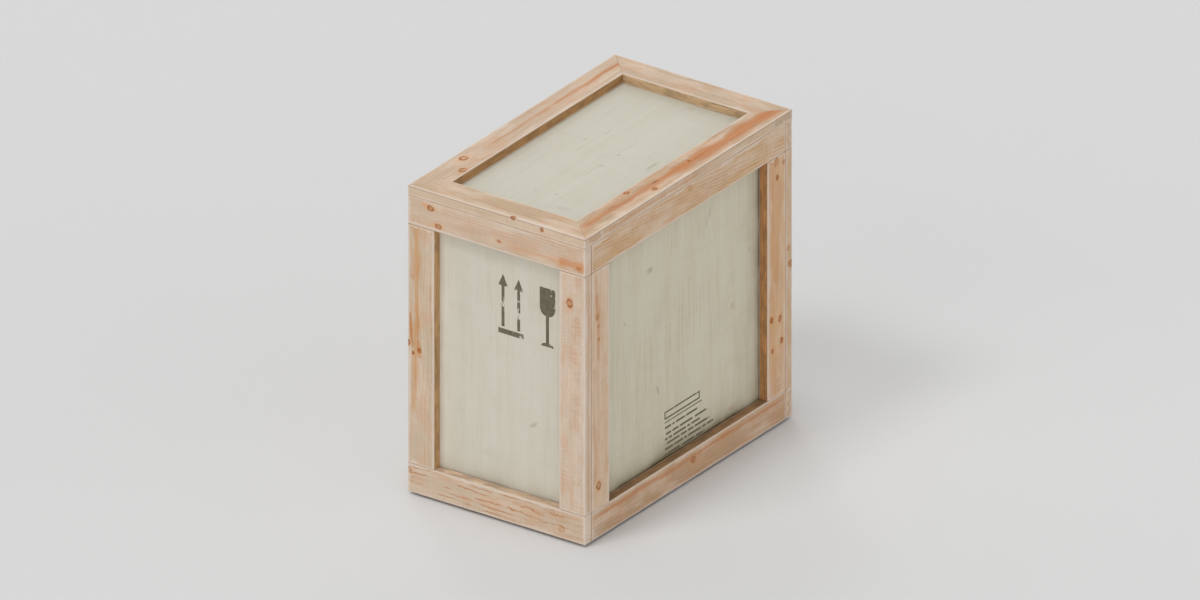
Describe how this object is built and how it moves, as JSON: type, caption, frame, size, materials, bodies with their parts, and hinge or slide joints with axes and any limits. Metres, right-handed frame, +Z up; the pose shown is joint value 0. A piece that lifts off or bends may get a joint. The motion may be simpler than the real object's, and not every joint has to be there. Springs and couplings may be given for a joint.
{
  "type": "battened plywood crate",
  "caption": "Upright plywood packing crate framed outside with flat pine battens, standing on low cross bearers, with a lapped and mitred lid that lifts off.",
  "frame": {"origin": "on the ground, in the middle of the crate's footprint", "axes": "+Z up, +X from the left wall to the right wall, +Y from the front wall to the rear wall"},
  "size_m": [0.6, 1, 0.954],
  "materials": {
    "pine": "sawn and lightly planed, unfinished",
    "plywood": "sanded, unfinished",
    "nail": "bright wire"
  },
  "bodies": {
    "crate": {"front_top_rail": "pine", "front_bottom_rail": "pine", "front_left_stile": "pine", "front_right_stile": "pine", "front_panel": "plywood", "rear_top_rail": "pine", "rear_bottom_rail": "pine", "rear_left_stile": "pine", "rear_right_stile": "pine", "rear_panel": "plywood", "left_top_rail": "pine", "left_bottom_rail": "pine", "left_front_stile": "pine", "left_rear_stile": "pine", "left_panel": "plywood", "right_top_rail": "pine", "right_bottom_rail": "pine", "right_front_stile": "pine", "right_rear_stile": "pine", "right_panel": "plywood", "floor_panel": "plywood", "front_bearer": "pine", "middle_bearer": "pine", "rear_bearer": "pine", "front_panel_nails": "nail", "rear_panel_nails": "nail", "left_panel_nails": "nail", "right_panel_nails": "nail", "corner_nails": "nail", "bearer_nails": "nail", "floor_nails": "nail"},
    "lid": {"lid_front_batten": "pine", "lid_rear_batten": "pine", "lid_left_batten": "pine", "lid_right_batten": "pine", "lid_panel": "plywood", "lid_panel_nails": "nail", "lid_lap_pins": "nail", "lid_nails": "nail"}
  },
  "joints": [
    {"name": "lid_lift", "type": "slide", "parent": "crate", "child": "lid", "axis": [0, 0, 1], "range_m": [0, 0.3]}
  ]
}
